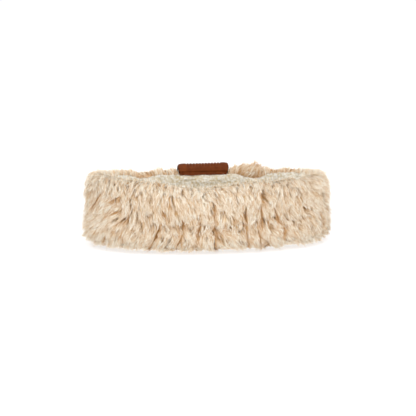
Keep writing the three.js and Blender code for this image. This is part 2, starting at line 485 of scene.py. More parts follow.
def ramp(tree, stops, source):
    """A colour ramp with (place, colour) stops, fed by a socket."""
    node = new_node(tree, "ValToRGB", {"Fac": source})
    while len(node.color_ramp.elements) < len(stops):
        node.color_ramp.elements.new(0.5)
    for element, (place, colour) in zip(node.color_ramp.elements, stops):
        element.position = place
        element.color = (*colour, 1)
    return node.outputs["Color"]


def mixed(tree, share, low, high, way="MIX"):
    """One colour over another. share is a socket, or a number."""
    inputs = {0: share, 6: low, 7: high}
    return new_node(tree, "Mix", inputs, data_type="RGBA", blend_type=way).outputs[2]


def object_place(tree, scale=(1, 1, 1)):
    """Object coordinates, scaled along each axis, so that a pattern can be longer one way."""
    place = new_node(tree, "TexCoord", {}).outputs["Object"]
    return new_node(tree, "Mapping", {"Vector": place, "Scale": scale}).outputs["Vector"]


def cloudy(tree, place, size, detail=3.0, rough=0.55):
    """Soft noise with patches of about a size, in metres."""
    inputs = {"Vector": place, "Scale": 1 / size, "Detail": detail, "Roughness": rough}
    return new_node(tree, "TexNoise", inputs).outputs["Fac"]


def cells(tree, place, size, feature="F1"):
    """Distance to the nearest of scattered centres, about a size apart."""
    inputs = {"Vector": place, "Scale": 1 / size}
    return new_node(tree, "TexVoronoi", inputs, feature=feature).outputs["Distance"]


def added(tree, a, b, share):
    """a plus a share of b."""
    return new_node(tree, "Math", {0: b, 1: share, 2: a}, operation="MULTIPLY_ADD").outputs["Value"]


def named_value(tree, name):
    """A value stored in the mesh under a name."""
    return new_node(tree, "Attribute", {}, attribute_name=name).outputs["Fac"]


def surfaced(shader, colour, height, depth):
    """Gives a shader its colour, and relief of a depth in metres from a height between 0 and 1."""
    inputs = {"Strength": 1, "Distance": depth, "Height": height}
    bump = new_node(shader.id_data, "Bump", inputs)
    feed(shader, {"Base Color": colour, "Normal": bump.outputs["Normal"]})


LIGHT_THROUGH = 0.3  # share of the light on a strand that comes out on its other side


def strand_material(name, dark_stops, light_stops):
    """Deeper colour at the root, paler at the tip, and lighter or darker from strand to strand. Strands are
    thin, so light comes through them too."""
    material, tree, shader = new_material(name, 0.75, 0.06)
    place = new_node(tree, "UVMap", {}, uv_map="OFBake").outputs["UV"]
    tone, along, _ = new_node(tree, "SeparateXYZ", {"Vector": place}).outputs
    colour = mixed(tree, tone, ramp(tree, dark_stops, along), ramp(tree, light_stops, along))
    feed(shader, {"Base Color": colour})
    through = new_node(tree, "BsdfTranslucent", {"Color": colour})
    shares = {"Fac": LIGHT_THROUGH, 1: shader.outputs["BSDF"], 2: through.outputs["BSDF"]}
    both = new_node(tree, "MixShader", shares)
    feed(tree.nodes["Material Output"], {"Surface": both.outputs["Shader"]})
    return material


def deep_pile_material():
    """The dense depth of the pile, in upright streaks of tan and brown: the tan partly the roots' colour and
    partly painted shade of the depth, and a dark brown painted shade along the partings.
    """
    material, tree, shader = new_material("deep pile", 0.95, 0.03)
    streaks = cloudy(tree, object_place(tree, (1, 1, 0.16)), 1.3 * MM, 4.0, 0.65)
    height = added(tree, streaks, cloudy(tree, object_place(tree), 9 * MM), 0.25)
    tan = [(0.42, (0.42, 0.21, 0.09)), (0.58, (0.64, 0.42, 0.24)), (0.75, (0.80, 0.62, 0.42))]
    brown = [(0.42, (0.12, 0.055, 0.024)), (0.7, (0.24, 0.12, 0.06))]
    colour = mixed(tree, named_value(tree, "parting"), ramp(tree, tan, height), ramp(tree, brown, height))
    surfaced(shader, colour, streaks, 1.2 * MM)
    return material


def fleece_material():
    """Off-white curls, with painted shade, darker and slightly yellow, in the hollows between them, and
    lighter where the stored height is higher.
    """
    material, tree, shader = new_material("short fleece", 0.95, 0.03)
    place = object_place(tree)
    curls = cells(tree, place, 1.1 * MM, "SMOOTH_F1")
    height = added(tree, named_value(tree, "height"), curls, -0.5)
    height = added(tree, height, cloudy(tree, place, 2.2 * MM), 0.5)
    # painted shade in the hollows, off-white on the tops of the curls
    painted_hollow_shade = [(0.05, (0.54, 0.44, 0.285)), (0.3, (0.62, 0.545, 0.43))]
    white = [(0.75, (0.69, 0.65, 0.575)), (1.0, (0.76, 0.73, 0.67))]
    patches = ramp(tree, [(0.35, (0.93, 0.91, 0.86)), (0.65, (1, 1, 1))], cloudy(tree, place, 14 * MM))
    colour = mixed(tree, 1.0, ramp(tree, painted_hollow_shade + white, height), patches, "MULTIPLY")
    surfaced(shader, colour, added(tree, cloudy(tree, place, 0.7 * MM), curls, -0.8), 0.8 * MM)
    return material


def leather_material():
    """Smooth red-brown leather with a fine grain, darker and duller in patches."""
    material, tree, shader = new_material("brown leather", 0.5, 0.1)
    place = object_place(tree)
    patches = cloudy(tree, place, 5 * MM, 4.0)
    grain = cells(tree, place, 0.5 * MM)
    brown = [(0.35, (0.088, 0.0185, 0.003)), (0.62, (0.118, 0.0265, 0.0048)), (0.85, (0.155, 0.038, 0.008))]
    colour = ramp(tree, brown, added(tree, patches, grain, 0.25))
    dull = new_node(tree, "MapRange", {"Value": patches, "To Min": 0.42, "To Max": 0.66})
    feed(shader, {"Roughness": dull.outputs["Result"]})
    surfaced(shader, colour, added(tree, grain, cloudy(tree, place, 0.25 * MM), 0.6), 0.07 * MM)
    return material


def cut_edge_material():
    """The cut edge of the leather: fibrous, darker and matt."""
    material, tree, shader = new_material("cut leather edge", 0.85, 0.1)
    fibres = cloudy(tree, object_place(tree), 0.4 * MM, 5.0, 0.7)
    dark = [(0.35, (0.075, 0.019, 0.006)), (0.7, (0.16, 0.05, 0.018))]
    surfaced(shader, ramp(tree, dark, fibres), fibres, 0.2 * MM)
    return material


def thread_material():
    """Twisted sewing thread, a little lighter than the leather."""
    material, tree, shader = new_material("sewing thread", 0.6, 0.25)
    inputs = {"Vector": object_place(tree), "Scale": 1 / (1.5 * MM)}
    twist = new_node(tree, "TexWave", inputs, bands_direction="DIAGONAL").outputs["Fac"]
    plies = [(0.2, (0.10, 0.03, 0.012)), (0.8, (0.21, 0.075, 0.03))]
    surfaced(shader, ramp(tree, plies, twist), twist, 0.06 * MM)
    return material


long_pile = strand_material(
    "long pile",
    [(0, (0.42, 0.17, 0.055)), (0.45, (0.58, 0.325, 0.13)), (1, (0.77, 0.56, 0.32))],
    [(0, (0.64, 0.38, 0.18)), (0.4, (0.90, 0.74, 0.52)), (0.7, (0.97, 0.93, 0.82)), (1, (0.975, 0.96, 0.90))],
)
deep_pile = deep_pile_material()
short_fleece = fleece_material()
fleece_fibres = strand_material(
    "fleece fibres",
    [(0, (0.52, 0.48, 0.37)), (1, (0.64, 0.60, 0.50))],
    [(0, (0.62, 0.58, 0.48)), (1, (0.75, 0.72, 0.64))],
)
brown_leather = leather_material()
cut_edge = cut_edge_material()
sewing_thread = thread_material()


# ---- How the pile is combed ----
# Angles are plan angles in degrees, heights, reaches and widths in millimetres. lean is the way the tips
# point, in degrees from straight down towards the right as seen from outside.

COMBING = table("at up lean reach", [
    (-166, 21, -35, 11),
    (-162, 12, -15, 11),
    (-159, 46, -35, 13),
    (-159, 63, 30, 10),
    (-154, 32, -45, 10),
    (-148, 18, -10, 12),
    (-145, 49, -58, 8),
    (-145, 36, -50, 9),
    (-144, 58, 45, 8),
    (-137, 62, 5, 8),
    (-136, 35, -22, 8),
    (-130, 49, 45, 8),
    (-124, 53, 0, 10),
    (-118, 37, 35, 8),
    (-122, 19, -32, 12),
    (-110, 12, -30, 11),
    (-105, 49, 12, 12),
    (-109, 29, 15, 9),
    (-98, 22, -8, 11),
    (-93, 35, 0, 10),
    (-89, 18, 38, 11),
    (-81, 48, 10, 12),
    (-78, 18, 18, 12),
    (-71, 45, -12, 8),
    (-65, 42, 6, 9),
    (-62, 22, 25, 13),
    (-50, 12, 28, 14),
    (-52, 58, 0, 9),
    (-44, 38, 22, 14),
    (-30, 43, 38, 14),
    (-30, 18, 22, 14),
    (-18, 56, 45, 12),
    (114, 33, 26, 13),
    (63, 66, -72, 11),
])
COMB_PULL = 1.8  # how strongly a row of the chart pulls
PLAIN_PULL = 0.3  # and how strongly the pile falls straight down where the chart says little

# Where locks lie apart and the depth of the pile shows between them: painted shade makes that depth and the
# strands beside it darker.
PARTINGS = table("from_at from_up to_at to_up width", [
    (-155, 54, -166, 38, 0.5),
    (-141, 52, -149, 46, 0.3),
    (-148, 38, -152, 32, 0.45),
    (-141, 38, -147, 36, 0.4),
    (-137, 34, -138, 28, 0.9),
    (-141, 21, -141, 11, 0.4),
    (-153, 17, -154, 5, 0.3),
    (-119, 27, -125, 4, 0.7),
    (-119, 41, -116, 32, 0.5),
    (-114, 52, -115, 45, 0.5),
    (-109, 33, -107, 24, 0.9),
    (-108, 19, -112, 5, 0.6),
    (-99, 33, -102, 13, 0.7),
    (-93, 46, -93, 16, 0.4),
    (-93, 15, -93, 2, 0.9),
    (-85, 35, -83, 28, 1.1),
    (-78, 42, -78, 28, 1.7),
    (-78, 27, -77, 6, 0.4),
    (-70, 40, -70, 23, 1.2),
    (-72, 22, -70, 5, 0.7),
    (-62, 37, -60, 25, 1.0),
    (-57, 25, -58, 13, 0.7),
    (-55, 54, -55, 47, 0.7),
    (-38, 38, -34, 33, 1.0),
    (-26, 30, -24, 21, 0.7),
    (-115, 31, -115, 26, 0.8),
    (-112, 29, -111, 24, 0.6),
    (-104, 31, -103, 26, 0.7),
    (-88, 31, -88, 26, 0.8),
    (-66, 30, -66, 25, 0.7),
])

# Where the pile stands higher (+) or is flatter (-) than the outer form, in millimetres.
RAISED = table("at up reach raise", [
    (72, 66, 6, 2.5),
    (66, 66, 8, 2.0),
    (57, 66, 8.5, 5.2),
    (117, 66, 6, 1.6),
    (126, 66, 8, -1.6),
    (150, 66, 12, -0.9),
    (124, 66, 3.5, -2.2),
    (112, 66, 3.5, -1.5),
    (52, 66, 4, -1.5),
    (32, 66, 14, -2.4),
    (14, 64, 14, -2.6),
    (-12, 66, 10, -1.5),
    (-6, 62, 18, -1.5),
    (-10, 50, 14, -1.2),
    (-15, 8, 16, -2.5),
    (180, 62, 16, -1.4),
    (-176, 50, 12, -0.6),
])

# Painted shade: where the chart shades the pile, shade is taken off its tone and the pile is duller. A
# negative shade paints it lighter.
PAINTED_SHADE = table("at up reach shade", [
    (57, 66, 9, 0.65),
    (70, 64, 9, 0.45),
    (44, 66, 12, 0.2),
    (28, 66, 12, 0.12),
    (135, 60, 26, -0.14),
    (165, 62, 24, -0.14),
])

# Where the pile lies evenly, with little difference between its tufts: calm is from 0 to 1.
CALM = table("at up reach calm", [
    (-172, 50, 24, 0.75),
    (-166, 64, 16, 0.6),
    (-165, 20, 20, 0.6),
    (-152, 56, 20, 0.55),
    (-150, 36, 17, 0.55),
    (-152, 16, 15, 0.3),
    (-130, 54, 14, 0.4),
    (-105, 54, 14, 0.4),
    (-80, 54, 14, 0.35),
    (-55, 56, 14, 0.35),
    (-10, 45, 24, 0.6),
    (-5, 20, 18, 0.4),
])


PARTING_REACH = 10 * MM  # strands further from a parting's ends than this aren't moved


def near_spots(rows, places):
    """Each row of a chart, with how near places on the surface are to its spot: 1 there, and less and less
    over its reach."""
    for row in rows:
        away = np.linalg.norm(places - form.spot(row["at"], row["up"]), axis=1) / (row["reach"] * MM)
        yield row, np.exp(-(away**2))


def charted(rows, value, places):
    """The sum of a chart's values at places on the surface."""
    return sum(row[value] * near for row, near in near_spots(rows, places))


def combed(places, t):
    """The lean of the pile at places on the surface, in radians: the chart's, and a slow sway elsewhere."""
    right = PLAIN_PULL * (0.22 * np.sin(3 * t + 1) + 0.14 * np.sin(7 * t))
    down = np.full(len(places), PLAIN_PULL)
    for row, near in near_spots(COMBING, places):
        right += COMB_PULL * near * math.sin(math.radians(row["lean"]))
        down += COMB_PULL * near * math.cos(math.radians(row["lean"]))
    return np.arctan2(right, down)


def beside_parting(lines, row):
    """Which lines of points run near a parting, how far their points lie to its right, the way across it,
    and how far the parting has opened beside each point."""
    a, b = form.spot(row["from_at"], row["from_up"]), form.spot(row["to_at"], row["to_up"])
    _, right, _ = form.frame(np.array([math.radians(row["from_at"])]), np.array([0.5]))
    across = np.cross(b - a, np.cross(right[0], b - a))
    across /= np.linalg.norm(across)
    middle = lines[:, lines.shape[1] // 2]
    close = np.linalg.norm(middle - (a + b) / 2, axis=1) < np.linalg.norm(b - a) / 2 + PARTING_REACH
    along = ((lines[close] - a) @ (b - a)) / ((b - a) @ (b - a))
    opened = smoothstep(-0.12, 0.15, along) * smoothstep(1.12, 0.85, along)
    return close, (lines[close] - a) @ across, across, opened


# ---- Pile locks ----
# Strands make wisps, wisps make locks, and locks make tufts. t is a plan angle, s the share of the way up
# and over the form, and z the share of the way along a strand.

TUFT_SPACING = 7.2 * MM
LOCK_SPACING = 3.0 * MM
WISP_SPACING = 1.22 * MM
STRANDS_PER_WISP = 4
THICK_STRANDS = 9  # more round each wisp where the pile is bunched
BUNCHED_SHADE = 0.3  # the pile is bunched where the chart shades it by more than this
PILE_DEPTH = 7.5 * MM  # from the backing to the outer form
PILE_LENGTH = 12.4 * MM  # along the surface, from above the root to the tip
STRAND_WIDTH = 0.46 * MM
WISP_SPREAD = 0.75 * MM  # of a wisp's roots
LOOSE_SHARE = 0.28  # of the strands stray from their wisp
SOFT_SHARE = 0.68  # how far a strand is lit as part of the whole pile, and not by itself
LOCK_GATHER = 0.52  # how far wisps come together into their lock
TUFT_GATHER = 0.32  # and into their tuft
TUFT_LEVEL = 0.38  # how far the tips of a tuft end at one height
MOST_CALM = 0.85  # some unevenness stays where the chart's rows add up
CREASE_SHARE = 0.4  # where the pile folds in, and the locks above end over those below
CREASE_HOLD = 0.8
CREASE_PRESS = 2 * MM  # how far the locks above press in those below
CREASE_BULGE = 1.6 * MM  # and how far they stand out for each 0.05 of the way that they are held back
WAVE_LENGTH = 13 * MM  # of the slow wave in a tuft
RIPPLE_LENGTH = 8 * MM  # and of the ripple in each wisp's
RIPPLE = 0.3 * MM
SEAM_OVERLAP = 0.1  # share of the way by which locks start past the seam
PILE_PIECES = 5
STRAY = 0.25 * MM  # how far a strand's tip strays from its wisp
LOOSE_STRAY = 0.9 * MM  # and a loose one's
LOOSE_STAND = 4.8 * MM  # about the most that a loose one stands off
FLOOR_CLEAR = 0.25 * MM


def scattered(spacing, seed):
    """Places all over the pile's form, about spacing apart, as plan angles and shares of the way up."""
    draw = np.random.default_rng(seed)
    fine = np.linspace(-math.pi, math.pi, OVAL_STEPS + 1)
    run = oval_run(fine, PILE_OUT)
    rows = int(round(form.length.mean() * (1 + SEAM_OVERLAP) / spacing))
    count = int(run[-1] / spacing)
    angles, shares = [], []
    for row in range(rows):
        place = (np.arange(count) + row % 2 / 2 + draw.uniform(-0.48, 0.48, count)) / count * run[-1]
        angles.append(np.interp(place % run[-1], run, fine))
        shares.append((row + 0.5 + draw.uniform(-0.48, 0.48, count)) / rows * (1 + SEAM_OVERLAP))
    return np.concatenate(angles), np.concatenate(shares)


def depth_below(s, depth):
    """A depth that thins out towards both edges of the pile."""
    return depth * (0.35 + 0.65 * smoothstep(0, 0.16, s)) * (0.03 + 0.97 * smoothstep(1.0, 0.76, s))


def nearest(points, centres, batch=2000):
    """For each point, the index of the nearest centre, worked out a batch at a time to save memory."""
    found = np.empty(len(points), int)
    for start in range(0, len(points), batch):
        gap = points[start : start + batch, None] - centres[None]
        found[start : start + batch] = (gap**2).sum(axis=2).argmin(axis=1)
    return found


def apart_round(t):
    """An angle difference the short way round."""
    return np.mod(t + math.pi, 2 * math.pi) - math.pi


def rooted_wisps():
    """What is known of the wisps before they are combed: where each one is rooted, and which lock and tuft it
    belongs to. Each of the next steps adds to it, and their draws follow one another."""
    w = SimpleNamespace(draw=np.random.default_rng(5))
    t, s = scattered(WISP_SPACING, 3)
    rooted = (s < 1 + SEAM_REACH / form.length.mean()) | (np.sin(t) > 0)
    w.t, w.s = t[rooted], s[rooted]
    lock_t, lock_s = scattered(LOCK_SPACING, 8)
    w.tuft_t, tuft_s = scattered(TUFT_SPACING, 4)
    w.count, w.locks, w.tufts = len(w.t), len(lock_t), len(w.tuft_t)
    w.root, w.tuft_middle = form.surface(w.t, w.s), form.surface(w.tuft_t, tuft_s)
    lock_middle = form.surface(lock_t, lock_s)
    w.lock = nearest(w.root, lock_middle)
    w.tuft = nearest(lock_middle, w.tuft_middle)[w.lock]
    w.to_lock, w.to_tuft = apart_round(lock_t[w.lock] - w.t), apart_round(w.tuft_t[w.tuft] - w.t)
    w.up_lock, w.up_tuft = lock_s[w.lock] - w.s, tuft_s[w.tuft] - w.s
    w.speed, w.reach = oval_speed(w.t, PILE_OUT), form.lengths(w.t)
    w.crest = smoothstep(0.74, 0.86, w.s)  # 1 for wisps that start on top of the band
    w.far_side = smoothstep(0.1, 0.6, np.sin(w.t))
    w.uneven = 1 - np.minimum(charted(CALM, "calm", w.root), MOST_CALM)
    return w


def by_tuft(w, low, high):
    """An even draw between low and high, the same for all of a tuft."""
    return w.draw.uniform(low, high, w.tufts)[w.tuft]


def vary(w, tufts, locks, wisps):
    """A normal draw for each wisp, partly shared by its lock and its tuft."""
    shared = w.draw.normal(0, tufts, w.tufts)[w.tuft] + w.draw.normal(0, locks, w.locks)[w.lock]
    return shared + w.draw.normal(0, wisps, w.count)


def comb(w):
    """Sets each wisp's lean and length, and where its tip lies once locks and tufts come together."""
    w.lean = 0.7 * combed(w.tuft_middle, w.tuft_t)[w.tuft] + 0.3 * combed(w.root, w.t)
    w.lean += vary(w, 0.2, 0.22, 0.12) * (1 - 0.45 * w.crest) * w.uneven**0.5
    w.length = PILE_LENGTH * (1 + vary(w, 0.13, 0.07, 0.07)) * (1 - 0.2 * w.crest)
    together = (1 - 0.6 * w.crest) * (0.3 + 0.7 * w.uneven)
    to_tuft = TUFT_GATHER * together + 0.15 * smoothstep(0.3, 0.15, w.s)
    to_lock = LOCK_GATHER * (0.15 + 0.85 * w.uneven)
    w.tip_t = w.t + w.length * np.sin(w.lean) / w.speed + to_lock * w.to_lock + to_tuft * w.to_tuft
    w.tip_s = w.s - w.length * np.cos(w.lean) / w.reach
    w.tip_s = w.tip_s + to_lock * w.up_lock + TUFT_LEVEL * together * w.up_tuft
    w.tip_t += w.draw.normal(0, 0.35 * MM, w.count) / w.speed
    w.tip_s += w.draw.normal(0, 0.8 * MM, w.count) / w.reach


def hang(w):
    """Ends the tips at a ragged lower edge, which is higher at the two ends of the loop."""
    lowest = -0.02 + 0.065 * by_tuft(w, 0, 1) ** 1.4 + 0.014 * w.draw.uniform(0, 1, w.count)
    lowest += 0.015 * w.draw.uniform(0, 1, w.locks)[w.lock]
    lowest += 0.03 * smoothstep(0.12, 0.04, w.s) + 0.03 * smoothstep(0.9, 1.0, np.abs(np.cos(w.t)))
    w.tip_s = np.maximum(w.tip_s, lowest)
    w.raised = charted(RAISED, "raise", form.surface(w.tip_t, w.tip_s))


def crease(w):
    """Stops the locks above the crease over those below it, mostly at the front."""
    crease_s = CREASE_SHARE + 0.02 * np.sin(5 * w.t) + 0.045 * by_tuft(w, -1, 1)
    hold = CREASE_HOLD * (1 - 0.6 * by_tuft(w, 0, 1))
    hold *= 0.45 + 0.55 * smoothstep(0.75, 0.45, np.abs(w.t + 0.5 * math.pi))
    passing = smoothstep(0.02, 0.08, w.s - crease_s) * np.clip(crease_s - w.tip_s, 0, 1)
    below = smoothstep(0.09, 0.0, np.abs(crease_s - 0.04 - w.s)) * (w.s < crease_s + 0.01)
    w.tip_s += hold * passing
    w.pressed = CREASE_PRESS * hold * below
    w.bulge = CREASE_BULGE * hold * passing / 0.05


def round_off(w):
    """How near each wisp lies to the sides of its tuft and of its lock, and how far it sinks for that."""
    sine, cosine = np.sin(w.lean), np.cos(w.lean)
    w.across_tuft = (w.to_tuft * w.speed * cosine + w.up_tuft * w.reach * sine) / (TUFT_SPACING / 2)
    w.across_lock = (w.to_lock * w.speed * cosine + w.up_lock * w.reach * sine) / (LOCK_SPACING / 2)
    w.tuft_edge = np.clip(np.abs(w.across_tuft), 0, 1.3) ** 2
    w.lock_edge = np.clip(np.abs(w.across_lock), 0, 1.3) ** 2
    w.sunk = MM * w.uneven * ((0.85 - 0.55 * w.crest) * w.tuft_edge + 0.4 * w.lock_edge)


def raise_tips(w):
    """Sets how far each tip stands above the form."""
    w.height = vary(w, 0.2, 0.12, 0.12) * w.uneven + w.draw.normal(0, 0.16, w.count)
    upright = w.draw.normal(0, 0.7, w.tufts)[w.tuft] + w.draw.normal(0, 0.8, w.count)
    by_seam = smoothstep(0.92, 1.0, w.s) * (1 - w.far_side)
    w.lift = MM * (0.1 + w.height + w.crest * w.uneven * upright + w.raised + 0.4 * by_seam)
    w.lift += 1.2 * MM * smoothstep(0.25, 0.1, w.s) + w.bulge


def wave(w):
    """Sets the slow wave of each tuft and the ripple of each wisp, and scatters the raised tips."""
    w.wave_size = MM * (0.5 + 0.3 * by_tuft(w, 0, 1))
    w.wave_start = by_tuft(w, 0, 2 * math.pi) + w.draw.normal(0, 0.5, w.locks)[w.lock]
    w.ripple_start = w.draw.uniform(0, 2 * math.pi, w.count)
    above = MM * np.maximum(w.raised, 0)
    w.lift += above * w.draw.uniform(-0.55, 0.1, w.count)
    w.tip_t += above * w.draw.normal(0, 0.3, w.count) / w.speed


def wisp_points(w, z):
    """The points of all wisps at one share of the way along them."""
    travel, way = z**1.2, 2 * math.pi * z * w.length
    sideways = w.wave_size * z * np.sin(way / WAVE_LENGTH + w.wave_start)
    sideways += RIPPLE * z * np.sin(way / RIPPLE_LENGTH + w.ripple_start)
    t = w.t + (w.tip_t - w.t) * travel + sideways * (np.cos(w.lean) / w.speed)
    s = w.s + (w.tip_s - w.s) * travel + sideways * (np.sin(w.lean) / w.reach)
    depth = w.pressed * smoothstep(0, 0.4, z) * smoothstep(1, 0.6, z)
    depth = depth + depth_below(w.s, PILE_DEPTH) * (1 - z) ** 2.3 - w.lift * z**1.3
    return form.point(t, s, depth + w.sunk * math.sin(math.pi * z**0.8))


def wisp_tones(w, shade):
    """How light each wisp is: painted shade where the chart paints it, at the sides of its tuft and lock and
    at the back, and painted light where it stands higher, on the crest and at the lowest tips.
    """
    tone = vary(w, 0.01, 0.02, 0.39) + 0.16 * np.clip(w.height, -1, 0.8) - shade
    # painted light on the lowest tips, painted shade at the back
    tone += 0.15 * smoothstep(0.12, 0.02, w.tip_s) - 0.1 * w.far_side
    return 0.65 + tone - (0.07 * w.tuft_edge + 0.12 * w.lock_edge) * w.uneven + 0.08 * w.crest


def wisp_guides():
    """The middle line of each wisp, and what else its strands follow."""
    w = rooted_wisps()
    for step in (comb, hang, crease, round_off, raise_tips, wave):
        step(w)
    normal, right, upward = form.frame((w.t + w.tip_t) / 2, np.clip((w.s + w.tip_s) / 2, 0, 1))
    sideways = right * np.cos(w.lean)[:, None] + upward * np.sin(w.lean)[:, None]
    turned = np.clip(-0.22 * w.across_tuft - 0.15 * w.across_lock, -0.5, 0.5)
    shade = charted(PAINTED_SHADE, "shade", w.root)
    by_seam = smoothstep(0.9, 0.99, w.s) * (1 - w.far_side)
    return {
        "line": np.stack([wisp_points(w, z) for z in STATIONS], axis=1),
        "normal": normal,
        "right": right,
        "upward": upward,
        "outward": normal + turned[:, None] * sideways,
        "tone": wisp_tones(w, shade),
        "crest": w.crest,
        "calm": 1 - w.uneven,
        # painted shade from the chart, which also darkens the strands' tips and marks where the pile is
        # bunched
        "dull": np.maximum(shade, 0),
        "fluff": np.maximum(w.crest, smoothstep(0.85, 0.97, np.abs(np.cos(w.t)))),
        # painted light: roots on the crest, most along the front seam, start paler; painted shade: those at
        # the back start darker
        "start": w.crest * (0.4 + 0.5 * by_seam - 0.15 * w.far_side),
        "turn": np.mod(w.t + math.pi, 2 * math.pi),
    }


def pushed_apart(points):
    """Moves each strand to its own side of the partings, and gives how far it lies in the depth of one, which
    sets its painted shade.
    """
    deep = np.zeros(len(points))
    for row in PARTINGS:
        width = row["width"] * MM
        close, signed, across, opened = beside_parting(points, row)
        side = np.sign(signed[:, 1:].mean(axis=1))[:, None]
        own = signed * side
        near = opened * smoothstep(6 * MM, 3 * MM, np.abs(own))
        push = near * np.maximum(width * np.exp((own - width) / (2 * width)) - own, 0) * (own < width)
        points[close] += (push * side)[..., None] * across
        edge = opened * np.exp(-(((own + push - 0.5 * width) / (0.6 * MM)) ** 2))
        deep[close] = np.maximum(deep[close], edge[:, 1:3].mean(axis=1))
    return points, deep


LABEL_WAIST = 1.8 * MM  # the label's neck is narrower than its roll by this much on each side
LABEL_CLEAR = 0.3 * MM  # strands keep this far off its sides
LABEL_UNDER = 1.5 * MM  # and none starts further in under it than this


def beside_label(points):
    """Combs strands off the label to its sides, and tells which strands don't start under it."""
    across = points[..., 0] - LABEL_MIDDLE
    covered = (points[..., 1] > HALF_Y) & (points[..., 2] > label_low.z - 0.5 * MM)
    covered &= np.abs(across) < LABEL_HALF + LABEL_CLEAR
    kept = ~(covered & (np.abs(across) < LABEL_HALF - LABEL_UNDER))[:, :2].any(axis=1)
    behind = smoothstep(HALF_Y + 9 * MM, HALF_Y + 11.5 * MM, points[..., 1])
    edge = LABEL_MIDDLE + np.sign(across) * (LABEL_HALF + LABEL_CLEAR - LABEL_WAIST * (1 - behind))
    points[..., 0] = np.where(covered, edge, points[..., 0])
    return points, kept


def strands_of(guides, count, seed):
    """Strands round each guide: they start apart at the backing and come together at the tip."""
    draw = np.random.default_rng(seed)
    whole = {key: np.repeat(value, count, axis=0) for key, value in guides.items()}
    line, normal, right, upward = (whole[key] for key in ("line", "normal", "right", "upward"))
    strands = len(line)
    angle = draw.uniform(0, 2 * math.pi, strands)
    radius = WISP_SPREAD * np.sqrt(draw.uniform(0, 1, strands))
    offset = right * (radius * np.cos(angle))[:, None] + upward * (radius * np.sin(angle))[:, None]
    fluff = whole["fluff"]
    loose = draw.uniform(0, 1, strands) < LOOSE_SHARE + 0.12 * fluff
    stray = draw.normal(0, 1, (strands, 3)) * np.where(loose, LOOSE_STRAY, STRAY)[:, None]
    stand = loose * (0.3 * MM + LOOSE_STAND * draw.uniform(0, 1, strands) ** (3 - 1.2 * fluff))
    stray += normal * stand[:, None]
    z = STATIONS[None, :, None]
    jitter = draw.normal(0, 0.1 * MM, (strands, len(STATIONS), 3)) * z
    closing = 0.6 * (1 - whole["calm"])[:, None, None] * z**1.2
    line = line + offset[:, None] * (1 - closing) + stray[:, None] * z**2 + jitter
    short = 1 - 0.35 * draw.uniform(0, 1, strands) ** 2
    line[:, -1] = line[:, -2] + (line[:, -1] - line[:, -2]) * (short[:, None] * 1.4 - 0.2)
    tone = whole["tone"] + draw.normal(0, 0.2, strands)
    line, deep = pushed_apart(line)
    line, kept = beside_label(line)
    line[..., 2] = np.maximum(line[..., 2], FLOOR_CLEAR)
    roll = draw.uniform(-0.6, 0.6, strands)
    facing = normal * np.cos(roll)[:, None] + right * np.sin(roll)[:, None]
    # the chart's painted shade, which keeps the tips from their palest colour
    dull = np.minimum(whole["dull"], 1)
    strands = {
        "line": line,
        "side": unit(np.cross(unit(np.gradient(line, axis=1)), facing[:, None])),
        "width": STRAND_WIDTH * draw.uniform(0.65, 1.25, strands) * np.where(loose, 0.7, 1),
        # painted shade: in a parting's depth a strand is darker from root to tip, and the chart's shade keeps
        # its tip darker too
        "tone": np.clip(tone - 0.7 * deep, 0.02, 0.98),
        "start": whole["start"] * (1 - deep),
        "end": 1 - 0.75 * deep - 0.5 * dull * (1 - deep),
        "soft": SOFT_SHARE * (1 - 0.5 * whole["crest"]),
        "outward": whole["outward"],
        "turn": whole["turn"],
    }
    return {key: value[kept] for key, value in strands.items()}


def pile_locks():
    """The whole pile as a few joined pieces, each a stretch of the loop."""
    guides = wisp_guides()
    # bunched where the chart paints the most shade
    bunched = guides["dull"] > BUNCHED_SHADE
    thick = {key: value[bunched] for key, value in guides.items()}
    sets = [strands_of(guides, STRANDS_PER_WISP, 6), strands_of(thick, THICK_STRANDS, 7)]
    pile = {key: np.concatenate([strands[key] for strands in sets]) for key in sets[0]}
    order = np.argsort(pile["turn"], kind="stable")
    pieces = []
    for i, stretch in enumerate(np.array_split(order, PILE_PIECES)):
        part = {key: value[stretch] for key, value in pile.items()}
        pieces.append(lay_strands(f"pile_locks_{i + 1}", part, long_pile))
    return pieces


# ---- Pile base ----

BASE_RINGS = 240
BASE_OUTSIDE = 44  # points up the outside of a section
BASE_DEPTH = 4.6 * MM
BASE_SKIN = 0.7 * MM  # it stays this far under the outer form even at its edges
BASE_WALL = PILE_INNER + 1.3 * MM
BASE_FLOOR = 4.4 * MM
BASE_RISE = 2.1 * MM  # its lower edge is higher by this much at the two ends of the loop


def pile_base():
    """The dense depth of the pile, between the locks: a ring whose sections follow the outer form."""
    s = np.linspace(0, 1, BASE_OUTSIDE)
    sections = []
    for turn in range(BASE_RINGS):
        t = np.full(BASE_OUTSIDE, 2 * math.pi * turn / BASE_RINGS)
        floor = BASE_FLOOR + BASE_RISE * smoothstep(0.75, 0.95, abs(math.cos(t[0])))
        outer = form.point(t, s, BASE_SKIN + depth_below(s, BASE_DEPTH))
        outer[:, 2] = np.maximum(outer[:, 2], floor)
        top = oval_point(t[0], BASE_WALL, outer[-1, 2] - 1 * MM)
        low = oval_point(t[0], BASE_WALL, floor + 2 * MM)
        toe = oval_point(t[0], BASE_WALL + 2 * MM, floor)
        wall = [top + (low - top) * k / 9 for k in range(10)] + [toe, (toe + outer[0]) / 2]
        sections.append(np.concatenate([outer, wall]))
    base = ring("pile_base", np.array(sections))
    corners = corners_of(base)
    # painted shade: how far the base is painted dark brown along each parting
    parting = np.zeros(len(corners))
    for row in PARTINGS:
        close, signed, _, opened = beside_parting(corners[:, None], row)
        dark = opened * np.exp(-((signed / (row["width"] * MM + 1 * MM)) ** 2))
        parting[close] = np.maximum(parting[close], dark[:, 0])
    put_values(base, "parting", parting)
    base.data.materials.append(deep_pile)
    return base


# ---- Fleece lining ----

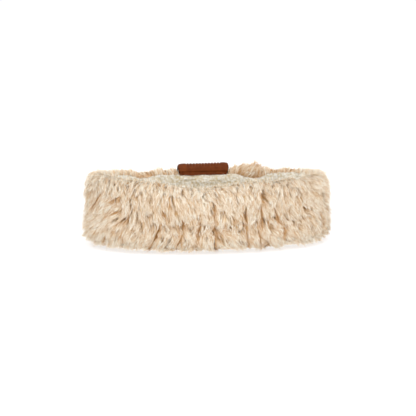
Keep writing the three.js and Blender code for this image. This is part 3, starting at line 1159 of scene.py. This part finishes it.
LINING_RINGS = 240
LINING_INSIDE = 48  # points up the inside of a section
LINING_BEHIND = 12  # and down behind it
LINING_HEM = 3.4 * MM  # the inside starts this far up
LINING_RIM = 2.2 * MM  # and the rim's highest line lies this far out
MIDDLE_CROWDING = 0.16  # how much closer the inside's points lie halfway up
WELL_IN = 14 * MM  # rays towards the inside start this far in from it
HEM_HELD = 5  # points above the hem over which the filling is held back
HEM_FIRM = 2.88  # and over which it is held most
FILLED_OUT = 1.8 * MM  # the filling moves the fleece this far at most
FLEECE_BACK = 3.9 * MM  # there are no nubs further out than this
FLEECE_FACE = 2.4 * MM  # and whole ones up to here
# Painted light: a puff is painted lighter, through the stored height.
PUFF_LIGHT = 0.6  # a puff is as light as curls that stand this much higher
FUZZ_STRANDS = 8000
FUZZ_LENGTH = 2.0 * MM
FUZZ_WIDTH = 0.26 * MM
FUZZ_LOWEST = 5 * MM
FUZZ_SHOWS = 40 * MM  # the fuzz is thinner below this
FUZZ_BELOW = 0.35  # by this factor
FUZZ_ON_RIM = 2.5  # and denser by this factor where the rim turns out

# How the lining goes on behind the rim, in millimetres out from the oval and down from the rim.
RIM_BACK = table("out down", [
    (3.1, 0.3),
    (3.8, 1.1),
    (4.3, 2.4),
])

# Texture on texture: size and height in millimetres. level is the texture's value that stays in place.
NUBS = table("name kind size height level", [
    ("lumps", "CLOUDS", 9, 0.7, 0.5),
    ("nubs", "VORONOI", 2.4, -1.7, 0.35),
    ("curls", "CLOUDS", 1.5, 0.7, 0.5),
])

# Where the fleece rolls out over the rim in a round puff.
PUFFS = table("at reach raise", [
    (-58, 3.8, 2.2),
    (-49.5, 4.2, 3.2),
    (-41, 4.2, 3.0),
    (-30, 4.2, 2.2),
])


def lining_sections(turns):
    """The lining's sections: up the inside, over the rim and down behind, read off the frame's lining."""
    tree = surface_tree(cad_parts["fleece_lining"])
    rise = np.linspace(0, 1, LINING_INSIDE)
    rise += MIDDLE_CROWDING * np.sin(2 * math.pi * rise) / (2 * math.pi)
    sections = []
    for t in turns:
        nx, ny = oval_normal(t)
        top = tree.ray_cast(Vector(oval_point(t, LINING_RIM, 90 * MM)), Vector((0, 0, -1)))[0].z
        inside = []
        for up in LINING_HEM + (top - 0.12 * MM - LINING_HEM) * rise:
            reach = tree.ray_cast(Vector(oval_point(t, -WELL_IN, up)), Vector((nx, ny, 0)))[3]
            inside.append((reach - WELL_IN, up))
        behind = [(row["out"] * MM, top - row["down"] * MM) for row in RIM_BACK]
        behind += [(LINING_WALL, top - 3.5 * MM - (top - 7 * MM) * k / 6) for k in range(7)]
        behind += [(3.4 * MM, 2.2 * MM), (1.9 * MM, 2.0 * MM)]
        out, up = np.array(inside + behind).T
        sections.append(oval_point(np.full(len(out), t), out, up))
    return np.array(sections)


def nubbed(piece, t):
    """Covers the fleece in nubs where it shows, and gives how high each point lies on them, from 0 to 1."""
    smooth, normals = corners_of(piece), normals_of(piece)
    nx, ny = oval_normal(t)
    middle = oval_point(t, 0, 0)
    out = (smooth[:, 0] - middle[:, 0]) * nx + (smooth[:, 1] - middle[:, 1]) * ny
    face = weigh(piece, "fleece side", smoothstep(FLEECE_BACK, FLEECE_FACE, out))
    for row in NUBS:
        texture = noise_texture(row["name"], row["kind"], row["size"] * MM)
        displaced(piece, texture, row["height"] * MM, row["level"], face)
    lift = ((corners_of(piece) - smooth) * normals).sum(axis=1)
    low, high = np.percentile(lift[lift != 0], (3, 97))
    return smoothstep(low, high, lift)


def fleece_lining():
    """The fleece ring: filled between its seams, covered in soft nubs, and rolled out in its puffs."""
    piece = ring("lining_fleece", lining_sections(even_angles(LINING_RINGS, 2 * MM)))
    step = np.arange(LINING_INSIDE + LINING_BEHIND)
    hem = smoothstep(HEM_HELD, 0, step) + smoothstep(HEM_FIRM, 0, step)
    behind = smoothstep(LINING_INSIDE + 1, LINING_INSIDE + 3, step)
    sewn = np.tile(np.clip(hem + behind, 0, 1), LINING_RINGS)
    filled(piece, sewn, pressure=4, growth=0.04, reach=FILLED_OUT)
    subdivided(piece)
    t = plan_angle(corners_of(piece))
    height = nubbed(piece, t)
    corners = corners_of(piece)
    for row in PUFFS:
        at = math.radians(row["at"])
        top = corners[np.abs(t - at) < math.radians(2), 2].max()
        spot = oval_point(at, 2 * MM, top - 1 * MM)
        puff = np.exp(-((np.linalg.norm(corners - spot, axis=1) / (row["reach"] * MM)) ** 2))
        corners[:, 2] += row["raise"] * MM * puff
        # painted light on the puff
        height += PUFF_LIGHT * puff
    put_corners(piece, corners)
    # the height sets both the painted shade of the hollows and the painted light of the puffs
    put_values(piece, "height", height)
    piece.data.materials.append(short_fleece)
    return piece


def fleece_fuzz(lining):
    """Short curled fibres standing off the lining's inside and rim."""
    draw = np.random.default_rng(31)
    corners, normals = corners_of(lining), normals_of(lining)
    nx, ny = oval_normal(plan_angle(corners))
    facing = normals[:, 0] * nx + normals[:, 1] * ny
    shows = (facing < 0.3) | (normals[:, 2] > 0.1)
    able = np.nonzero(shows & (corners[:, 2] > FUZZ_LOWEST))[0]
    odds = np.where(corners[able, 2] > FUZZ_SHOWS, 1.0, FUZZ_BELOW)
    odds *= np.where(facing[able] > 0.2, FUZZ_ON_RIM, 1.0)
    root = draw.choice(able, FUZZ_STRANDS, replace=False, p=odds / odds.sum())
    normal = normals[root]
    across = unit(np.cross(normal, draw.normal(0, 1, normal.shape)))
    other = np.cross(normal, across)
    length = FUZZ_LENGTH * draw.uniform(0.5, 1.2, FUZZ_STRANDS)[:, None, None]
    z = STATIONS[None, :, None]
    curl = draw.uniform(2.0, 5.0, FUZZ_STRANDS)[:, None, None] * z
    lean = across[:, None] * np.sin(curl) + other[:, None] * (1 - np.cos(curl))
    line = corners[root][:, None] + length * (normal[:, None] * z * 0.55 + lean * 0.32 * z**0.5)
    strands = {
        "line": line,
        "side": unit(np.cross(np.gradient(line, axis=1), normal[:, None])),
        "width": FUZZ_WIDTH * draw.uniform(0.7, 1.3, FUZZ_STRANDS),
        "tone": np.clip(0.55 + draw.normal(0, 0.25, FUZZ_STRANDS), 0.02, 0.98),
        "start": np.zeros(FUZZ_STRANDS),
        "end": np.ones(FUZZ_STRANDS),
        "soft": 0.85,
        "outward": normal,
    }
    return lay_strands("lining_fuzz", strands, fleece_fibres)


# ---- Leather label ----
# The strip is cut and pressed flat, and then folded over the rim. Across runs from its middle to the right
# as seen from the front, run starts at its hidden front end, and rise is measured from its middle layer.

NECK_OUT = 5.75 * MM
NECK_UP = 56 * MM
NECK_RUN = 12.4 * MM
ROLL_RADIUS = 3.4 * MM
ROLL_TURN = math.radians(166)
ROLL_RUN = ROLL_RADIUS * ROLL_TURN
LEG_RUN = 25 * MM
LEG_LEAN = math.radians(14)
LEG_EASE = 8 * MM  # the pinched ends of the roll ease out over this much of the leg
LABEL_RUN = NECK_RUN + ROLL_RUN + LEG_RUN
LABEL_THICKNESS = 2 * MM
LABEL_CELLS = 56, 52  # of the flat sheet, across and along
EDGE_ROUND = 0.45 * MM  # the width of its rounded edges
CORNER_RADIUS = 4 * MM
CREASE_RUN = 7.4 * MM  # where the roll starts to stand forward of the neck
CREASE_WIDTH = 1.5 * MM
ROLL_BULGE = 1.2 * MM
BULGE_FROM, BULGE_TO = 12 * MM, 17 * MM  # it fades out between these
END_ROUND = 3.2 * MM  # the roll closes in over this much of each end
END_PINCH = 2.1 * MM
END_BLUNT = 0.98  # at 1 the ends would be upright
LABEL_TILT = 0.02
LABEL_WAVES = 9 * MM  # size of the unevenness of the leather
LABEL_UNEVEN = 0.22 * MM
BORDER_INSET = 2.3 * MM
BORDER_WIDTH = 0.55 * MM
BORDER_DEPTH = 0.3 * MM
RIB_COUNT = 11
RIB_PITCH = 3.1 * MM
RIB_DEPTH = 1.05 * MM
STITCH_PITCH = 3 * MM
STITCH_LENGTH = 2.1 * MM
STITCH_RADIUS = 0.32 * MM
STITCH_TAPER = 0.45  # how much thinner a stitch is at its ends
STITCH_DIP = 0.35 * MM  # and how far they go down into the leather

LABEL_WIDTHS = table("run width", [
    (0, 48.5),
    (7, 48.5),
    (9.2, 51.2),
    (12.2, 52.5),
    (17.5, 51.0),
    (22.5, 52.5),
    (48, 52.0),
])


def label_half(run):
    """Half the label's width at a distance along it."""
    places = [row["run"] * MM for row in LABEL_WIDTHS]
    widths = [row["width"] * MM / 2 for row in LABEL_WIDTHS]
    into = np.clip(run - (LABEL_RUN - CORNER_RADIUS), 0, CORNER_RADIUS)
    return np.interp(run, places, widths) - (CORNER_RADIUS - np.sqrt(CORNER_RADIUS**2 - into**2))


def pressed_pattern(across, run):
    """How deep the plain border line and the row of even ribs are pressed."""
    inset = np.minimum(label_half(run) - np.abs(across), LABEL_RUN - run)
    line = BORDER_DEPTH * np.exp(-(((inset - BORDER_INSET) / BORDER_WIDTH) ** 2))
    spread = (RIB_COUNT - 1) / 2 * RIB_PITCH
    wave = 0.5 - 0.5 * np.cos(2 * math.pi * across / RIB_PITCH)
    row = smoothstep(spread + 0.9 * RIB_PITCH, spread + 0.4 * RIB_PITCH, np.abs(across))
    row = row * smoothstep(12.4 * MM, 13.8 * MM, run) * smoothstep(22 * MM, 20 * MM, run)
    return line + RIB_DEPTH * row * wave**1.5


def folded(flat):
    """Takes points of the flat strip to where they lie once it is folded over the rim."""
    across, run, rise = flat.T
    end = np.clip((np.abs(across) - (label_half(run) - END_ROUND)) / END_ROUND, 0, 1)
    radius = ROLL_RADIUS - END_PINCH * (1 - np.sqrt(1 - end**2 * END_BLUNT))
    turn = np.clip((run - NECK_RUN) / ROLL_RUN, 0, 1) * ROLL_TURN
    leg = np.clip(run - NECK_RUN - ROLL_RUN, 0, LEG_RUN)
    forward = smoothstep(CREASE_RUN, CREASE_RUN + CREASE_WIDTH, run) * smoothstep(BULGE_TO, BULGE_FROM, run)
    out = NECK_OUT + radius * (1 - np.cos(turn)) + leg * math.sin(LEG_LEAN)
    out += 2 * (ROLL_RADIUS - radius) * smoothstep(0, LEG_EASE, leg) - ROLL_BULGE * forward
    out -= rise * np.cos(turn)
    up = NECK_UP + np.minimum(run, NECK_RUN) + radius * np.sin(turn) - leg * math.cos(LEG_LEAN)
    up += rise * np.sin(turn) + LABEL_TILT * across * smoothstep(4 * MM, 12 * MM, run)
    return oval_point(math.acos(LABEL_MIDDLE / HALF_X) - across / HALF_X, out, up)


def flat_strip():
    """The strip as it is cut from a sheet, with its thickness and soft edges."""
    columns, rows = LABEL_CELLS
    bpy.ops.mesh.primitive_grid_add(
        x_subdivisions=columns, y_subdivisions=rows, size=1, location=(0, LABEL_RUN / 2, 0)
    )
    strip = named(bpy.context.object, "label_strip")
    strip.scale = (2 * MM, LABEL_RUN, 1)  # a millimetre each side for now: the cut follows
    bpy.ops.object.transform_apply()
    corners = corners_of(strip)
    corners[:, 0] *= label_half(corners[:, 1]) / MM
    put_corners(strip, corners)
    wall = strip.modifiers.new("thickness", "SOLIDIFY")
    wall.thickness = LABEL_THICKNESS
    wall.offset = 0
    wall.material_offset_rim = 1
    strip.data.materials.append(brown_leather)
    strip.data.materials.append(cut_edge)
    apply_modifier(strip, wall)
    soft = strip.modifiers.new("soft edges", "BEVEL")
    soft.width = EDGE_ROUND
    soft.segments = 2
    soft.limit_method = "ANGLE"
    soft.angle_limit = math.radians(50)
    apply_modifier(strip, soft)
    subdivided(strip)
    return strip


def label_strip():
    """The flat strip, pressed and folded."""
    strip = flat_strip()
    flat = corners_of(strip)
    upper = smoothstep(0.2 * MM, 0.9 * MM, flat[:, 2])
    flat[:, 2] -= upper * pressed_pattern(flat[:, 0], flat[:, 1])
    uneven = [noise.noise(Vector((across, run, 0)) / LABEL_WAVES) for across, run, _ in flat]
    flat[:, 2] += LABEL_UNEVEN * np.array(uneven)
    put_corners(strip, folded(flat))
    finish_faces(strip)
    return strip


def stitch_places():
    """Where the stitches lie on the flat strip: up both sides of the leg, and along its end. turn is the way
    a stitch points, in degrees from straight across."""
    low = LABEL_RUN - BORDER_INSET
    high = NECK_RUN + ROLL_RUN + 2.5 * MM
    side = label_half(high) - BORDER_INSET
    corner = CORNER_RADIUS - BORDER_INSET
    places = []
    for run in np.arange(high, low - corner, STITCH_PITCH):
        places += [(-side, run, 90), (side, run, 90)]
    width = 2 * (side - corner)
    count = int(width / STITCH_PITCH)
    for k in range(count + 1):
        places.append((-width / 2 + width * k / count, low, 0))
    return places


def one_stitch():
    """A short thread that thins out and dips into the leather at both ends."""
    bpy.ops.mesh.primitive_cylinder_add(
        vertices=8, radius=STITCH_RADIUS, depth=STITCH_LENGTH, rotation=(0, math.pi / 2, 0)
    )
    bpy.ops.object.transform_apply()
    bpy.ops.object.mode_set(mode="EDIT")
    bpy.ops.mesh.select_all(action="SELECT")
    bpy.ops.mesh.subdivide(number_cuts=2)
    bpy.ops.object.mode_set(mode="OBJECT")
    stitch = bpy.context.object
    shape = corners_of(stitch)
    end = (shape[:, 0] / (STITCH_LENGTH / 2)) ** 2
    shape[:, 1:] *= (1 - STITCH_TAPER * end**2)[:, None]
    shape[:, 2] -= STITCH_DIP * end
    return stitch, shape


def label_stitches():
    """One stitch, modelled once and copied along the border of the leg."""
    first, shape = one_stitch()
    x, y, z = shape.T
    copies = []
    for across, run, turn in stitch_places():
        copy = first.copy()
        copy.data = first.data.copy()
        bpy.context.scene.collection.objects.link(copy)
        cosine, sine = math.cos(math.radians(turn)), math.sin(math.radians(turn))
        flat = np.stack([cosine * x - sine * y, sine * x + cosine * y, z], axis=1)
        flat += (across, run, LABEL_THICKNESS / 2 - BORDER_DEPTH + 0.5 * STITCH_RADIUS)
        put_corners(copy, folded(flat))
        copies.append(copy)
    bpy.data.objects.remove(first)
    only(copies[0])
    for copy in copies:
        copy.select_set(True)
    bpy.ops.object.join()
    row = named(bpy.context.object, "label_stitches")
    finish_faces(row)
    row.data.materials.append(sewing_thread)
    return row


# ---- Studio ----

CAMERA_TURN = -9  # degrees round to the right from straight in front
CAMERA_RISE = 8  # degrees above level
CAMERA_AWAY = 0.70
CAMERA_LENS = 61.8
CAMERA_AIM = Vector((0, 0, 31 * MM))
CAMERA_SHIFT = 1.5 * MM  # the camera really aims this far to the left of it and above it
LAMP_AIM = Vector((0, 0, 30 * MM))
FLOOR_GLOW = 0.68
SURROUNDINGS = 1.03


def stand_at(name, data, place, way):
    """Adds a camera or a lamp that looks one way."""
    thing = bpy.data.objects.new(name, data)
    bpy.context.scene.collection.objects.link(thing)
    thing.location = place
    thing.rotation_mode = "QUATERNION"
    thing.rotation_quaternion = way.to_track_quat("-Z", "Y")
    return thing


def add_camera():
    turn, rise = math.radians(CAMERA_TURN), math.radians(CAMERA_RISE)
    back = Vector((math.sin(turn) * math.cos(rise), -math.cos(turn) * math.cos(rise), math.sin(rise)))
    right = Vector((math.cos(turn), math.sin(turn), 0))
    aim = CAMERA_AIM - right * CAMERA_SHIFT + back.cross(right) * CAMERA_SHIFT
    data = bpy.data.cameras.new("camera")
    data.lens = CAMERA_LENS
    data.clip_start = 0.01
    data.clip_end = 50
    bpy.context.scene.camera = stand_at("camera", data, aim + back * CAMERA_AWAY, -back)


def add_softbox(name, place, size, power):
    data = bpy.data.lights.new(name, "AREA")
    data.shape = "DISK"
    data.size = size
    data.energy = power
    stand_at(name, data, place, LAMP_AIM - Vector(place))


def pale_floor_material():
    """Pale and matt, with a faint mottle, and glowing a little so that it stays as pale as the backdrop."""
    material, tree, shader = new_material("pale floor", 0.9, 0.1)
    pale = [(0.3, (0.37, 0.37, 0.37)), (0.7, (0.38, 0.38, 0.38))]
    colour = ramp(tree, pale, cloudy(tree, object_place(tree), 0.3))
    feed(shader, {"Base Color": colour, "Emission Color": (1, 1, 1, 1), "Emission Strength": FLOOR_GLOW})
    return material


def add_studio():
    bpy.ops.mesh.primitive_plane_add(size=16, location=(0, 0, -0.2 * MM))
    floor = bpy.context.object
    floor.name = "floor"
    floor.data.materials.append(pale_floor_material())
    world = bpy.data.worlds.new("studio")
    bpy.context.scene.world = world
    world.use_nodes = True
    feed(world.node_tree.nodes["Background"], {"Color": (1, 1, 1, 1), "Strength": SURROUNDINGS})
    bpy.context.scene.view_settings.view_transform = "Standard"
    add_softbox("key", (-0.45, -1.35, 0.75), 0.7, 11)
    add_softbox("fill", (0.9, -1.0, 0.6), 0.9, 4)
    add_softbox("top", (0.1, 0.5, 1.5), 1.0, 1.5)
    add_softbox("back", (-0.3, 1.4, 0.5), 0.9, 3)


# ---- Pieces ----

base = pile_base()
locks = pile_locks()
lining = fleece_lining()
fuzz = fleece_fuzz(lining)
label = label_strip()
stitches = label_stitches()

for piece in (base, *locks):
    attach(piece, "root")
for piece in (lining, fuzz):
    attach(piece, "root")
for piece in (label, stitches):
    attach(piece, "root")

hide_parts("pile_cover")
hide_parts("fleece_lining")
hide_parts("leather_label")

add_camera()
add_studio()
